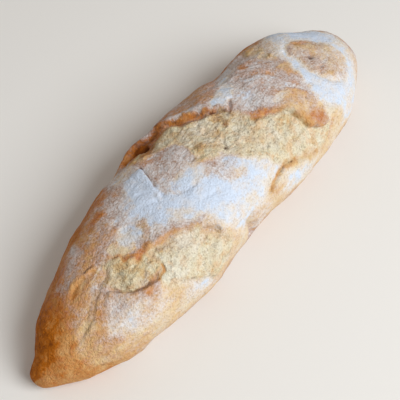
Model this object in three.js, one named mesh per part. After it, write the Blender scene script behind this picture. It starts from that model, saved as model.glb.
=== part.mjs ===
// A rustic demi-baguette: one solid loaf, lying on its flat sole.
//
// The crust is described on a map: x runs along the loaf, from the pointed end (-X) to the
// blunt end (+X), and g runs round it from the crown, where g = 0, in millimetres of crust.
// Positive g is the +Y flank. The plain loaf comes from a few stations; slashes, ears, folds
// and swellings are raised from or sunk into it, along its own normal.
// Millimetres, +Z up, origin under the middle of the loaf.
import * as THREE from 'three';

const LENGTH = 260;
const GIRTH_RADIUS = 38;            // turns an angle round the loaf into millimetres of crust
const ROUNDNESS = 0.92;             // below 1 the section is a little squarer than an ellipse
const SOLE_CUT = 0.76;              // the waist height over the lower radius: sets the sole's width
const RINGS = 110;                  // sections along the loaf
const CRUST_STEPS = 45;             // steps over the top of a section, sole edge to sole edge
const SOLE_STEPS = 6;               // steps across the flat sole
const CROWN_CLOSENESS = 0.25;       // how much closer the steps lie at the crown
const EDGE = 2.8;                   // half the width of the step at the edge of a slash
const END_FADE = 9;                 // half-width at which relief is at its full height
const SOLE_FADE = 7;                // height at which relief is at its full height

// Stations: place along (0 to 1 by angle), half-width, top, waist height, sideways drift.
const STATIONS = [
  { at: 0.00, half: 0.0, top: 6.0, waist: 6.0, drift: -2.0 },
  { at: 0.05, half: 4.8, top: 12.0, waist: 7.0, drift: -3.0 },
  { at: 0.11, half: 9.0, top: 19.0, waist: 9.0, drift: -5.0 },
  { at: 0.18, half: 17.7, top: 29.0, waist: 12.0, drift: -4.6 },
  { at: 0.27, half: 28.2, top: 39.0, waist: 15.5, drift: -4.5 },
  { at: 0.38, half: 35.8, top: 45.5, waist: 18.5, drift: -2.7 },
  { at: 0.50, half: 37.1, top: 48.0, waist: 19.0, drift: -0.3 },
  { at: 0.62, half: 36.5, top: 47.5, waist: 19.0, drift: -1.2 },
  { at: 0.73, half: 33.7, top: 42.5, waist: 17.0, drift: -0.6 },
  { at: 0.82, half: 23.4, top: 31.5, waist: 13.0, drift: -0.3 },
  { at: 0.89, half: 17.0, top: 22.5, waist: 10.5, drift: 1.2 },
  { at: 0.95, half: 11.2, top: 16.5, waist: 9.0, drift: 2.1 },
  { at: 1.00, half: 0.0, top: 9.0, waist: 9.0, drift: 2.0 },
];

// Lips: edges of torn crust. The skin lies on the left of each path and stands proud by
// `rise`; the torn crumb on its right sinks by `drop`. Both die away over their reach.
const LIPS = [
  { name: 'first slash, upper lip', rise: 1.0, drop: 1.6, skin: 7, crumb: 6,
    path: [[-97, 13], [-91, 10], [-86, 8], [-81, 5], [-75, -2], [-69, -7], [-63, -9.5]] },
  { name: 'pillow below the first slash', rise: 1.4, drop: 2.2, skin: 8, crumb: 5,
    path: [[-65, -25], [-70, -23], [-76, -22], [-81, -19.5], [-85, -12], [-90, -6.5],
      [-96, -9], [-100, -14.5], [-104, -21]] },
  { name: 'second slash', rise: 2.0, drop: 2.4, skin: 9, crumb: 7,
    path: [[-64, -9.5], [-57, -11], [-50, -13.5], [-43, -17.5], [-37, -22.5], [-32, -28.5],
      [-29, -36]] },
  { name: 'ear of the third slash', rise: 2.0, drop: 3.0, skin: 8, crumb: 6,
    path: [[-34, 35], [-26, 37], [-17, 36.5], [-9, 34], [-2, 29.5], [3, 21.5], [9, 14],
      [16, 9.5], [22.5, 4]] },
  { name: 'tongue of the fourth slash', rise: 2.0, drop: 2.2, skin: 9, crumb: 6,
    path: [[29, -7.5], [36, -10], [41, -15], [44, -21], [45.5, -28], [46, -34], [50, -39],
      [57, -41], [62, -38]] },
  { name: 'flap over the side crack', rise: 1.0, drop: 1.6, skin: 7, crumb: 5,
    path: [[47, -53], [40, -51], [33, -47.5], [26, -42], [19, -40], [11, -43], [3, -46.5]] },
  { name: 'split across the crown', rise: 0.9, drop: 0.7, skin: 7, crumb: 6,
    path: [[-38, -1], [-35, 5], [-31.5, 12], [-28, 19]] },
];

// Creases: rounded channels along a path.
const CREASES = [
  { name: 'notch in the near flank', depth: 2.6, width: 3.2,
    path: [[-12, -44], [-12, -52], [-10.5, -60], [-11, -70]] },
  { name: 'neck before the blunt end', depth: 1.2, width: 7,
    path: [[64, 36], [68, 14], [72, -2], [70, -14], [69, -26], [63, -40]] },
  { name: 'fold beside the neck', depth: 1.2, width: 2.6,
    path: [[66, -40], [61.5, -47], [58, -53], [54, -59]] },
  { name: 'rim of the bare round', depth: 0.9, width: 2.4,
    path: [[82, 11], [77, 6], [75, -5], [75.5, -15], [80, -25], [88, -33]] },
  { name: 'saddle in the far flank', depth: 1.9, width: 7,
    path: [[53, 64], [49, 46], [43, 32], [36, 18]] },
  { name: 'first slash', depth: 1.0, width: 6, path: [[-84, 0], [-76, -9], [-67, -17]] },
  { name: 'second slash', depth: 1.2, width: 8, path: [[-58, -17], [-46, -26], [-36, -40]] },
  { name: 'third slash', depth: 1.3, width: 10,
    path: [[-22, 25], [-8, 15], [8, 3], [26, -15], [36, -30]] },
  { name: 'crease on the far flank', depth: 1.3, width: 3.4,
    path: [[-70, 50], [-52, 56], [-34, 64], [-20, 72]] },
  { name: 'short crease on the far flank', depth: 1.1, width: 3.2,
    path: [[12, 70], [26, 60], [44, 54]] },
];

// Swellings and hollows: round patches, with their centre and radii on the crust map.
const SWELLINGS = [
  { name: 'pillow', height: 1.7, centre: [-86, -33], radii: [17, 16] },
  { name: 'main bulge', height: 1.5, centre: [-20, -24], radii: [26, 18] },
  { name: 'upper bulge', height: 1.3, centre: [47, 10], radii: [21, 18] },
  { name: 'ear', height: 0.9, centre: [-16, 44], radii: [9, 10] },
  { name: 'shoulder past the ear', height: 1.1, centre: [8, 44], radii: [12, 13] },
  { name: 'hollow under the ear', height: -3.2, centre: [-15, 30], radii: [8, 5] },
  { name: 'flap', height: 1.2, centre: [34, -58], radii: [20, 12] },
  { name: 'flank below the fold', height: 1.3, centre: [59, -66], radii: [10, 11] },
  { name: 'flank behind the notch', height: -1.3, centre: [-28, -60], radii: [13, 16] },
  { name: 'flank below the pillow', height: 0.9, centre: [-60, -62], radii: [14, 12] },
  { name: 'far flank, pointed end', height: -1.4, centre: [-78, 46], radii: [17, 16] },
  { name: 'far flank, before the ear', height: -1.4, centre: [-32, 47], radii: [8, 13] },
  { name: 'tip of the V tear', height: 1.0, centre: [23, 12], radii: [6, 7] },
];

// Unevenness of the whole crust: long waves through space, each with its height, its turn in
// radians for each millimetre along X, Y and Z, and its phase.
const WAVES = [
  { height: 0.45, turn: [0.105, 0.061, 0.045], phase: 0.7 },
  { height: 0.35, turn: [-0.083, 0.128, 0.094], phase: 2.1 },
  { height: 0.25, turn: [0.213, -0.118, 0.15], phase: 4.0 },
];

// Crags: lumps of torn crumb in the slashes.
const CRAG_HEIGHT = 0.9;
const CRAG_SIZE = 6;
const CRAG_REACH = 11;              // distance from the middle of a slash at which they end
const CRAG_SEED = 17;

const clamp01 = (value) => Math.min(1, Math.max(0, value));
const mix = (from, to, share) => from + (to - from) * share;

function smoothstep(low, high, value) {
  const t = clamp01((value - low) / (high - low));
  return t * t * (3 - 2 * t);
}

// A smooth curve through one column of the stations, with slopes weighted by their spacing.
function throughStations(key) {
  const at = STATIONS.map((station) => station.at);
  const value = STATIONS.map((station) => station[key]);
  const last = at.length - 1;
  const gap = at.slice(1).map((place, i) => place - at[i]);
  const rate = gap.map((step, i) => (value[i + 1] - value[i]) / step);
  const slope = at.map((place, i) => {
    if (i === 0 || i === last) return 0;
    return (rate[i - 1] * gap[i] + rate[i] * gap[i - 1]) / (gap[i - 1] + gap[i]);
  });
  slope[0] = 1.5 * rate[0] - 0.5 * slope[1];
  slope[last] = 1.5 * rate[last - 1] - 0.5 * slope[last - 1];
  return (place) => {
    let i = 0;
    while (i < last - 1 && place > at[i + 1]) i += 1;
    const t = (place - at[i]) / gap[i];
    const rest = 1 - t;
    return value[i] * (1 + 2 * t) * rest * rest + value[i + 1] * t * t * (3 - 2 * t)
      + gap[i] * (slope[i] * t * rest * rest - slope[i + 1] * t * t * rest);
  };
}

const halfWidth = throughStations('half');
const topHeight = throughStations('top');
const waistHeight = throughStations('waist');
const drift = throughStations('drift');

const alongLoaf = (place) => -LENGTH / 2 * Math.cos(Math.PI * place);

// The section of the plain loaf at one station.
function sectionAt(place) {
  const half = Math.max(0, halfWidth(place));
  const waist = waistHeight(place);
  return {
    x: alongLoaf(place),
    y: drift(place),
    half,
    waist,
    up: Math.min(topHeight(place) - waist, 1.6 * half),
    down: Math.min(waist / SOLE_CUT, 0.95 * half),
  };
}

// A point of the plain loaf at an angle from the crown.
function plainPoint(section, angle) {
  const s = Math.sin(angle);
  const c = Math.cos(angle);
  const radius = c >= 0 ? section.up : section.down;
  const y = section.y + section.half * Math.sign(s) * Math.abs(s) ** ROUNDNESS;
  const z = section.waist + radius * Math.sign(c) * Math.abs(c) ** ROUNDNESS;
  return new THREE.Vector3(section.x, y, Math.max(0, z));
}

// The angle at which a section meets the sole, or just short of half a turn where it is clear
// of it.
function soleAngle(section) {
  if (section.down <= section.waist) return Math.PI * 0.86;
  return Math.PI - Math.acos((section.waist / section.down) ** (1 / ROUNDNESS));
}

// The outward normal of the plain loaf.
function plainNormal(place, angle) {
  const step = 0.002;
  const before = plainPoint(sectionAt(place - step), angle);
  const after = plainPoint(sectionAt(place + step), angle);
  const section = sectionAt(place);
  const left = plainPoint(section, angle + step);
  const right = plainPoint(section, angle - step);
  return after.sub(before).cross(left.sub(right)).normalize();
}

// The nearest place on a path: its distance, the side (+1 on the left of the path) and how
// far along the path it lies, from 0 to 1.
function nearestOn(path, x, g) {
  const lengths = path.slice(1).map(([px, pg], i) => Math.hypot(px - path[i][0], pg - path[i][1]));
  const total = lengths.reduce((sum, length) => sum + length, 0);
  let best = { distance: Infinity, side: 1, along: 0 };
  let passed = 0;
  lengths.forEach((length, i) => {
    const [ax, ag] = path[i];
    const ux = (path[i + 1][0] - ax) / length;
    const ug = (path[i + 1][1] - ag) / length;
    const run = Math.min(length, Math.max(0, (x - ax) * ux + (g - ag) * ug));
    const dx = x - ax - ux * run;
    const dg = g - ag - ug * run;
    const distance = Math.hypot(dx, dg);
    if (distance < best.distance) {
      best = { distance, side: Math.sign(ux * dg - ug * dx) || 1, along: (passed + run) / total };
    }
    passed += length;
  });
  return best;
}

// Relief dies out over the first and last tenth of a path.
const pathFade = (along) => smoothstep(0, 0.1, along) * smoothstep(0, 0.1, 1 - along);

function lipRelief(lip, x, g) {
  const { distance, side, along } = nearestOn(lip.path, x, g);
  const skin = lip.rise * Math.exp(-distance / lip.skin);
  const crumb = -lip.drop * Math.exp(-distance / lip.crumb);
  return pathFade(along) * mix(crumb, skin, smoothstep(-EDGE, EDGE, side * distance));
}

function creaseRelief(crease, x, g) {
  const { distance, along } = nearestOn(crease.path, x, g);
  return -crease.depth * pathFade(along) * Math.exp(-((distance / crease.width) ** 2));
}

function swellingRelief(swelling, x, g) {
  const across = (x - swelling.centre[0]) / swelling.radii[0];
  const round = (g - swelling.centre[1]) / swelling.radii[1];
  return swelling.height * Math.exp(-(across * across + round * round));
}

// A repeatable number from -1 to 1 for each cell of the crust map.
function cellNumber(i, j) {
  const mixed = Math.sin(i * 127.1 + j * 311.7 + CRAG_SEED) * 43758.5453;
  return 2 * (mixed - Math.floor(mixed)) - 1;
}

function lumps(x, g) {
  const i = Math.floor(x / CRAG_SIZE);
  const j = Math.floor(g / CRAG_SIZE);
  const s = smoothstep(0, 1, x / CRAG_SIZE - i);
  const t = smoothstep(0, 1, g / CRAG_SIZE - j);
  const near = mix(cellNumber(i, j), cellNumber(i + 1, j), s);
  const far = mix(cellNumber(i, j + 1), cellNumber(i + 1, j + 1), s);
  return mix(near, far, t);
}

function cragRelief(x, g) {
  const slashes = CREASES.filter((crease) => crease.name.endsWith('slash'));
  const distance = Math.min(...slashes.map((crease) => nearestOn(crease.path, x, g).distance));
  return CRAG_HEIGHT * lumps(x, g) * (1 - smoothstep(CRAG_REACH / 2, CRAG_REACH, distance));
}

function waveRelief(point) {
  return WAVES.reduce((sum, wave) => {
    const [alongX, alongY, alongZ] = wave.turn;
    const turned = alongX * point.x + alongY * point.y + alongZ * point.z;
    return sum + wave.height * Math.sin(turned + wave.phase);
  }, 0);
}

function relief(point, g) {
  const { x } = point;
  let height = waveRelief(point) + cragRelief(x, g);
  for (const lip of LIPS) height += lipRelief(lip, x, g);
  for (const crease of CREASES) height += creaseRelief(crease, x, g);
  for (const swelling of SWELLINGS) height += swellingRelief(swelling, x, g);
  return height;
}

// A point of the finished crust. Relief fades out towards the tips and the sole.
function crustPoint(place, section, angle) {
  const point = plainPoint(section, angle);
  const fade = smoothstep(0, END_FADE, section.half) * smoothstep(0, SOLE_FADE, point.z);
  if (fade > 0) {
    const height = relief(point, GIRTH_RADIUS * angle) * fade;
    point.addScaledVector(plainNormal(place, angle), height);
  }
  point.z = Math.max(0, point.z);
  return point;
}

// Places along the loaf at even steps of its outline seen from above.
function evenPlaces(count) {
  const samples = 2000;
  const walked = [0];
  for (let i = 1; i <= samples; i += 1) {
    const from = sectionAt((i - 1) / samples);
    const to = sectionAt(i / samples);
    walked.push(walked[i - 1] + Math.hypot(to.x - from.x, to.half - from.half));
  }
  const places = [];
  let i = 0;
  for (let k = 1; k < count; k += 1) {
    const goal = walked[samples] * k / count;
    while (walked[i + 1] < goal) i += 1;
    places.push((i + (goal - walked[i]) / (walked[i + 1] - walked[i])) / samples);
  }
  return places;
}

// One ring of points round the loaf: over the crust, then back across the sole.
function ringAt(place) {
  const section = sectionAt(place);
  const edge = soleAngle(section);
  const ring = [];
  for (let k = 0; k <= CRUST_STEPS; k += 1) {
    const even = mix(-1, 1, k / CRUST_STEPS);
    ring.push(crustPoint(place, section, edge * mix(even, even ** 3, CROWN_CLOSENESS)));
  }
  const from = ring[CRUST_STEPS];
  const to = ring[0];
  for (let k = 1; k < SOLE_STEPS; k += 1) {
    const point = from.clone().lerp(to, k / SOLE_STEPS);
    const across = (point.y - section.y) / Math.max(section.half, 1e-6);
    const under = section.waist - section.down * Math.sqrt(Math.max(0, 1 - across * across));
    point.z = Math.max(0, Math.min(point.z, under));
    ring.push(point);
  }
  return ring;
}

function loafGeometry() {
  const rings = evenPlaces(RINGS).map(ringAt);
  const around = rings[0].length;
  const tips = [sectionAt(0), sectionAt(1)].map((end) => new THREE.Vector3(end.x, end.y, end.waist));
  const points = [...rings.flat(), ...tips];
  const [firstTip, lastTip] = [points.length - 2, points.length - 1];
  const lastRing = (rings.length - 1) * around;
  const index = [];
  for (let k = 0; k < around; k += 1) {
    const next = (k + 1) % around;
    for (let start = 0; start < lastRing; start += around) {
      const [a, b] = [start + k, start + next];
      const [c, d] = [a + around, b + around];
      index.push(a, c, b, b, c, d);
    }
    index.push(firstTip, k, next);
    index.push(lastTip, lastRing + next, lastRing + k);
  }
  const geometry = new THREE.BufferGeometry();
  geometry.setFromPoints(points);
  geometry.setIndex(index);
  geometry.computeBoundingBox();
  const centre = geometry.boundingBox.getCenter(new THREE.Vector3());
  geometry.translate(-centre.x, -centre.y, -geometry.boundingBox.min.z);
  geometry.computeVertexNormals();
  return geometry;
}

const crust = new THREE.MeshStandardMaterial({ color: '#d3a876', roughness: 0.85, metalness: 0 });
const loaf = new THREE.Mesh(loafGeometry(), crust);
loaf.name = 'loaf';

const baguette = new THREE.Group();
baguette.add(loaf);

export default baguette;
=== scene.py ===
"""A rustic demi-baguette on a pale floor, for Blender.

The crust is described on a map, in millimetres: x runs along the loaf from the pointed end to
the blunt end, and g runs round it from the crown, where g = 0. Positive g is the +Y flank.
The plain loaf comes from a few stations. Torn lips, cracks, folds, swellings and the rough
crumb are raised from it or sunk into it, and four layers are painted over it for the material:
flour (dust on the skin), bake (browning), crumb (torn inside) and the dark of the cracks and
pinholes, which in the cracks is painted shade with some burnt brown.
"""

import itertools

import bpy
import numpy as np
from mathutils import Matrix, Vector


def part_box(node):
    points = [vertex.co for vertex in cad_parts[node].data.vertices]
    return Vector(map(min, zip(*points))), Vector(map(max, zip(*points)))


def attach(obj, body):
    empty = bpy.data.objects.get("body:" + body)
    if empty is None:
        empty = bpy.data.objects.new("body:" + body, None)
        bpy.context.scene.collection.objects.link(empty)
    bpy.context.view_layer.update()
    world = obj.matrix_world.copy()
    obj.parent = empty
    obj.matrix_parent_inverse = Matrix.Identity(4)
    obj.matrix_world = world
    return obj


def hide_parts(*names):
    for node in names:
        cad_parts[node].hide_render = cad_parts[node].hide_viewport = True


MM = 0.001

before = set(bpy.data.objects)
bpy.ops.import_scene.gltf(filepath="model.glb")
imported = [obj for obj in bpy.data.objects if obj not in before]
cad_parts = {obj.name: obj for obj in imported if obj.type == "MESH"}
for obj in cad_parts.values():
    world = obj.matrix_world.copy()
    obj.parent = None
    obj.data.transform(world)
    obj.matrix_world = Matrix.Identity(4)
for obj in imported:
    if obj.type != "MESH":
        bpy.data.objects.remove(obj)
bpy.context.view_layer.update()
loaf_low, loaf_high = (np.array(corner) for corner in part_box("loaf"))

# ---- the plain loaf

LENGTH = (loaf_high[0] - loaf_low[0]) / MM
GIRTH_RADIUS = 38.0  # turns an angle round the loaf into millimetres of crust
ROUNDNESS = 0.92  # below 1 the section is a little squarer than an ellipse
SOLE_CUT = 0.76  # the waist height over the lower radius: sets the sole's width
RINGS = 430  # sections along the loaf
CRUST_STEPS = 196  # steps over the top of a section, sole edge to sole edge
SOLE_STEPS = 22  # steps across the flat sole
CROWN_CLOSENESS = 0.35  # how much closer the steps lie at the crown
END_FADE = 9.0  # half-width at which the forms are at their full height
SOLE_FADE = 7.0  # height at which the forms are at their full height
TALLEST = 1.6  # the most that a section rises over its waist, in half-widths
DEEPEST = 0.95  # the most that it reaches below its waist, in half-widths
OPEN_ANGLE = 0.86 * np.pi  # where the crust ends on sections too small to reach the sole

# Stations: place along (0 to 1 by angle), half-width, top, waist height, sideways drift.
STATIONS = np.array([
    (0.00, 0.0, 6.0, 6.0, -2.0),
    (0.05, 4.8, 12.0, 7.0, -3.0),
    (0.11, 9.0, 19.0, 9.0, -5.0),
    (0.18, 17.7, 29.0, 12.0, -4.6),
    (0.27, 28.2, 39.0, 15.5, -4.5),
    (0.38, 35.8, 45.5, 18.5, -2.7),
    (0.50, 37.1, 48.0, 19.0, -0.3),
    (0.62, 36.5, 47.5, 19.0, -1.2),
    (0.73, 33.7, 42.5, 17.0, -0.6),
    (0.82, 23.4, 31.5, 13.0, -0.3),
    (0.89, 17.0, 22.5, 10.5, 1.2),
    (0.95, 11.2, 16.5, 9.0, 2.1),
    (1.00, 0.0, 9.0, 9.0, 2.0),
])
HALF, TOP, WAIST, DRIFT = 1, 2, 3, 4


def mix(start, end, share):
    return start + (end - start) * share


def ease(low, high, value):
    """0 at low, 1 at high and a smooth step between them."""
    t = np.clip((value - low) / (high - low), 0, 1)
    return t * t * (3 - 2 * t)


def through_stations(column, place):
    """A smooth curve through one column of the stations, its slopes weighted by spacing."""
    at, value = STATIONS[:, 0], STATIONS[:, column]
    gap = np.diff(at)
    rate = np.diff(value) / gap
    slope = np.zeros(len(at))
    slope[1:-1] = (rate[:-1] * gap[1:] + rate[1:] * gap[:-1]) / (gap[:-1] + gap[1:])
    slope[0] = 1.5 * rate[0] - 0.5 * slope[1]
    slope[-1] = 1.5 * rate[-1] - 0.5 * slope[-2]
    i = np.clip(np.searchsorted(at, place) - 1, 0, len(gap) - 1)
    t = (place - at[i]) / gap[i]
    rest = 1 - t
    return (value[i] * (1 + 2 * t) * rest ** 2 + value[i + 1] * t ** 2 * (3 - 2 * t)
            + gap[i] * (slope[i] * t * rest ** 2 - slope[i + 1] * t ** 2 * rest))


def section_at(place):
    """The plain loaf's section: its place along X, middle, half-width, waist and two radii."""
    x = -LENGTH / 2 * np.cos(np.pi * place)
    half = np.maximum(0, through_stations(HALF, place))
    waist = through_stations(WAIST, place)
    up = np.minimum(through_stations(TOP, place) - waist, TALLEST * half)
    down = np.minimum(waist / SOLE_CUT, DEEPEST * half)
    return x, through_stations(DRIFT, place), half, waist, up, down


def plain_points(place, angle):
    """Points of the plain loaf at angles from the crown."""
    x, middle, half, waist, up, down = section_at(place)
    across, above = np.sin(angle), np.cos(angle)
    y = middle + half * np.sign(across) * np.abs(across) ** ROUNDNESS
    z = waist + np.where(above >= 0, up, down) * np.sign(above) * np.abs(above) ** ROUNDNESS
    return np.stack(np.broadcast_arrays(x, y, np.maximum(0, z)), axis=-1)


def unit(vectors):
    return vectors / np.maximum(1e-9, np.linalg.norm(vectors, axis=-1, keepdims=True))


def plain_directions(place, angle, step=0.002):
    """Unit vectors along the loaf, round it, and out of its plain surface."""
    along = unit(plain_points(place + step, angle) - plain_points(place - step, angle))
    around = unit(plain_points(place, angle + step) - plain_points(place, angle - step))
    return along, around, unit(np.cross(along, around))


def sole_angle(place):
    """The angle at which a section meets the sole, or OPEN_ANGLE where it doesn't."""
    waist, down = section_at(place)[3:6:2]
    share = np.clip(waist / np.maximum(down, 1e-9), 0, 1)
    meets = np.pi - np.arccos(share ** (1 / ROUNDNESS))
    return np.where(down <= waist, OPEN_ANGLE, meets)


def even_places(count, samples=4001):
    """Places along the loaf at even steps of its outline seen from above."""
    fine = np.linspace(0, 1, samples)
    x, _, half = section_at(fine)[:3]
    walked = np.concatenate([[0], np.cumsum(np.hypot(np.diff(x), np.diff(half)))])
    goals = walked[-1] * np.arange(1, count) / count
    return np.interp(goals, walked, fine)


# ---- noise and paths

CELL_MIX = np.array([127.1, 311.7, 74.7])  # scrambles the cells' three numbers
CELL_SPREAD = 43758.5453


def cell_number(cell, seed):
    """A repeatable number from 0 to 1 for each cell of space."""
    mixed = np.sin(cell @ CELL_MIX + seed) * CELL_SPREAD
    return mixed - np.floor(mixed)


def noise(points, size, seed):
    """Smooth lumps of about `size` millimetres, from -1 to 1."""
    cell = points / size
    low = np.floor(cell)
    t = ease(0, 1, cell - low)
    total = 0
    for corner in itertools.product((0, 1), repeat=3):
        weight = np.prod(np.where(np.array(corner) == 1, t, 1 - t), axis=-1)
        total = total + weight * cell_number(low + corner, seed)
    return 2 * total - 1


def layered_noise(points, layers, start=0, shift=0):
    """`start` with lumps of several sizes on it, each given by its height, size and seed."""
    for height, size, seed in layers:
        start = start + height * noise(points, size, seed + shift)
    return start


def nearest_on(path, x, g):
    """The distance to a path, the side (+1 on its left), the way along it, and the unit
    direction on the map from its right to its left."""
    path = np.array(path, float)
    steps = np.diff(path, axis=0)
    lengths = np.hypot(steps[:, 0], steps[:, 1])
    distance = np.full(x.shape, np.inf)
    side, along = np.ones(x.shape), np.zeros(x.shape)
    left_x, left_g = np.zeros(x.shape), np.zeros(x.shape)
    passed = 0.0
    for start, step, length in zip(path, steps, lengths):
        ux, ug = step / length
        run = np.clip((x - start[0]) * ux + (g - start[1]) * ug, 0, length)
        dx = x - start[0] - ux * run
        dg = g - start[1] - ug * run
        here = np.hypot(dx, dg)
        closer = here < distance
        distance = np.where(closer, here, distance)
        side = np.where(closer, np.where(ux * dg - ug * dx < 0, -1, 1), side)
        along = np.where(closer, (passed + run) / lengths.sum(), along)
        left_x = np.where(closer, -ug, left_x)
        left_g = np.where(closer, ux, left_g)
        passed += length
    return distance, side, along, left_x, left_g


def path_fade(along, share=0.1):
    """0 at both ends of a path and 1 over all but its first and last `share`."""
    return ease(0, share, along) * ease(0, share, 1 - along)


def trace(path, width, x, g, share=0.1):
    """1 along a path, fading away over `width` beside it and over `share` at its ends."""
    distance, _, along = nearest_on(path, x, g)[:3]
    return path_fade(along, share) * np.exp(-(distance / width) ** 2)


def off_centre(centre, radii, x, g):
    """The squared distance from a centre on the map, which is 1 at the radii."""
    return ((x - centre[0]) / radii[0]) ** 2 + ((g - centre[1]) / radii[1]) ** 2


def spot(centre, radii, x, g):
    """1 at a centre on the map, fading away over the radii."""
    return np.exp(-off_centre(centre, radii, x, g))


def inside(outline, x, g):
    """True inside a closed outline on the map."""
    odd = np.zeros(x.shape, bool)
    for (ax, ag), (bx, bg) in zip(outline, outline[1:] + outline[:1]):
        if ag == bg:
            continue
        crosses = (g < ag) != (g < bg)
        odd ^= crosses & (x < ax + (bx - ax) * (g - ag) / (bg - ag))
    return odd


# ---- forms of the crust

# Lips: edges of torn crust, the skin on the left of each path. The skin stands proud by
# `rise`, felt as far as `skin`, and the crumb on the right sinks by `drop`, felt as far as
# `crumb`. Between them lies a torn face. `over` is how far the lip leans out, `rim` how brown
# its edge is baked, `edge` how strongly and `spill` how far that brown reaches over the skin.
LIP_COLUMNS = ("name", "rise", "drop", "skin", "crumb", "face", "over", "rim", "edge", "spill",
               "path")
LIPS = [dict(zip(LIP_COLUMNS, row)) for row in [
    ("first slash, upper lip", 0.8, 1.2, 7, 6, 2, 0.2, 0.6, 0.3, 2.4,
     [(-97, 13), (-91, 10), (-86, 8), (-81, 5), (-75, -2), (-69, -7), (-63, -9.5)]),
    ("pillow below the first slash", 1.4, 2.2, 8, 5, 1.8, 0.5, 0.58, 0.45, 2,
     [(-66, -27), (-70, -26), (-76, -23.8), (-81, -19.5), (-85, -12), (-88, -8)]),
    ("fold round the pillow", 0.6, 0.5, 9, 6, 4.5, 0, 0.6, 0.2, 2.4,
     [(-84, -11), (-90, -6.5), (-96, -9), (-100, -14.5), (-104, -21)]),
    ("second slash", 2, 2.2, 9, 7, 2.6, 0.5, 0.52, 0.6, 2.4,
     [(-64, -9.5), (-57, -11), (-50, -13.5), (-43, -17.5), (-37, -22.5), (-32, -28.5), (-28, -37)]),
    # The ear's rim is baked dark, partly as painted shade and bounce light on its face.
    ("ear of the third slash", 1.9, 2, 8, 6, 3.4, 0.5, 0.82, 1, 0.4,
     [(-34, 37), (-26, 40.5), (-17, 40.5), (-8, 38.5), (-0.5, 34.5), (4.5, 28), (10.5, 20.6), (16, 14),
      (19, 10)]),
    ("tongue of the fourth slash", 2, 2.2, 9, 6, 1.4, 0.7, 0.53, 0.9, 2.4,
     [(29, -7.5), (36, -10), (41, -14), (44.5, -20), (46.5, -27), (47.3, -33), (51, -38.5), (57, -41),
      (62, -38)]),
    ("flap over the side crack", 1, 1.6, 7, 5, 1.6, 0.4, 0.56, 0.7, 2.4,
     [(47, -53), (40, -51), (33, -47.5), (27, -43), (22, -39.6), (17, -40.5), (11, -43.6), (3, -46.5)]),
    ("split across the crown", 0.9, 0.7, 7, 6, 0.8, 0.3, 0.6, 0, 2.4,
     [(-38, -1), (-35, 5), (-31.5, 12), (-28, 19)]),
    ("V tear past the ear", 0.9, 1, 5, 4, 1, 0.4, 0.7, 0.7, 0.4,
     [(11, 19), (16, 13), (20, 8), (22.5, 4.5), (24.5, 5.2), (27, 7), (30, 9.5)]),
]]

LIP_REACH = 25  # how far a lip is felt on both sides
LEAN_REACH = 2.4  # how far its lean is felt
FACE_TOP = 0.5  # how far the torn face rounds over onto the skin

# Creases: rounded channels along a path, with their depth and half-width.
CREASES = [
    ("notch in the near flank", 2.6, 3, [(-12, -44), (-12, -52), (-10.5, -60), (-11, -70)]),
    ("neck before the blunt end", 1.2, 7, [(64, 36), (68, 14), (72, -2), (70, -14), (69, -26),
      (63, -40)]),
    ("fold beside the neck", 1.2, 2.2, [(66, -40), (61.5, -47), (58, -53), (54, -59)]),
    ("rim of the bare round", 0.9, 2, [(82, 11), (77, 6), (75, -5), (75.5, -15), (80, -25), (88, -33)]),
    ("saddle in the far flank", 1.9, 7, [(53, 64), (49, 46), (43, 32), (36, 18)]),
    ("first slash", 1, 6, [(-84, 0), (-76, -9), (-67, -17)]),
    ("second slash", 1.2, 8, [(-58, -17), (-46, -26), (-36, -40)]),
    ("third slash", 1.3, 10, [(-22, 25), (-8, 15), (8, 3), (26, -15), (36, -30)]),
    ("crease on the far flank", 1.3, 3, [(-70, 50), (-52, 56), (-34, 64), (-20, 72)]),
    ("short crease on the far flank", 1.1, 3, [(12, 70), (26, 60), (44, 54)]),
    ("wrinkle in the main bulge", 0.6, 1, [(-43, 11), (-40, 7), (-39, 3), (-41, -1)]),
    ("wrinkle beside it", 0.5, 1, [(-33, -3), (-28, -7), (-21, -9)]),
    ("short wrinkle", 0.5, 1, [(-27, -15), (-22, -18), (-17, -19)]),
    ("fold before the pillow", 0.5, 2.4, [(-86, 2), (-91, -2), (-96, -6), (-101, -11), (-107, -15),
      (-109, -21)]),
]

# Swellings and hollows: height, centre and radii on the map.
SWELLINGS = [
    ("pillow", 1.7, (-86, -33), (17, 16)),
    ("main bulge", 1.5, (-20, -24), (26, 18)),
    ("upper bulge", 1.3, (47, 10), (21, 18)),
    ("ear", 0.9, (-16, 44), (9, 10)),
    ("shoulder past the ear", 1.1, (8, 44), (12, 13)),
    ("hollow under the ear", -3.4, (-15, 30), (7, 4.5)),
    ("flap", 1.2, (34, -58), (20, 12)),
    ("flank below the fold", 1.3, (59, -66), (10, 11)),
    ("flank behind the notch", -1.3, (-28, -60), (13, 16)),
    ("flank below the pillow", 0.9, (-60, -62), (14, 12)),
    ("far flank, pointed end", -1.4, (-78, 46), (17, 16)),
    ("far flank, before the ear", -1.4, (-32, 47), (8, 13)),
    ("tip of the V tear", 1, (23, 12), (6, 7)),
    ("lump in the first slash", 1.3, (-74, -11), (6, 7)),
    ("ridge before the pillow", 0.8, (-88, 0), (5, 4)),
]
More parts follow.
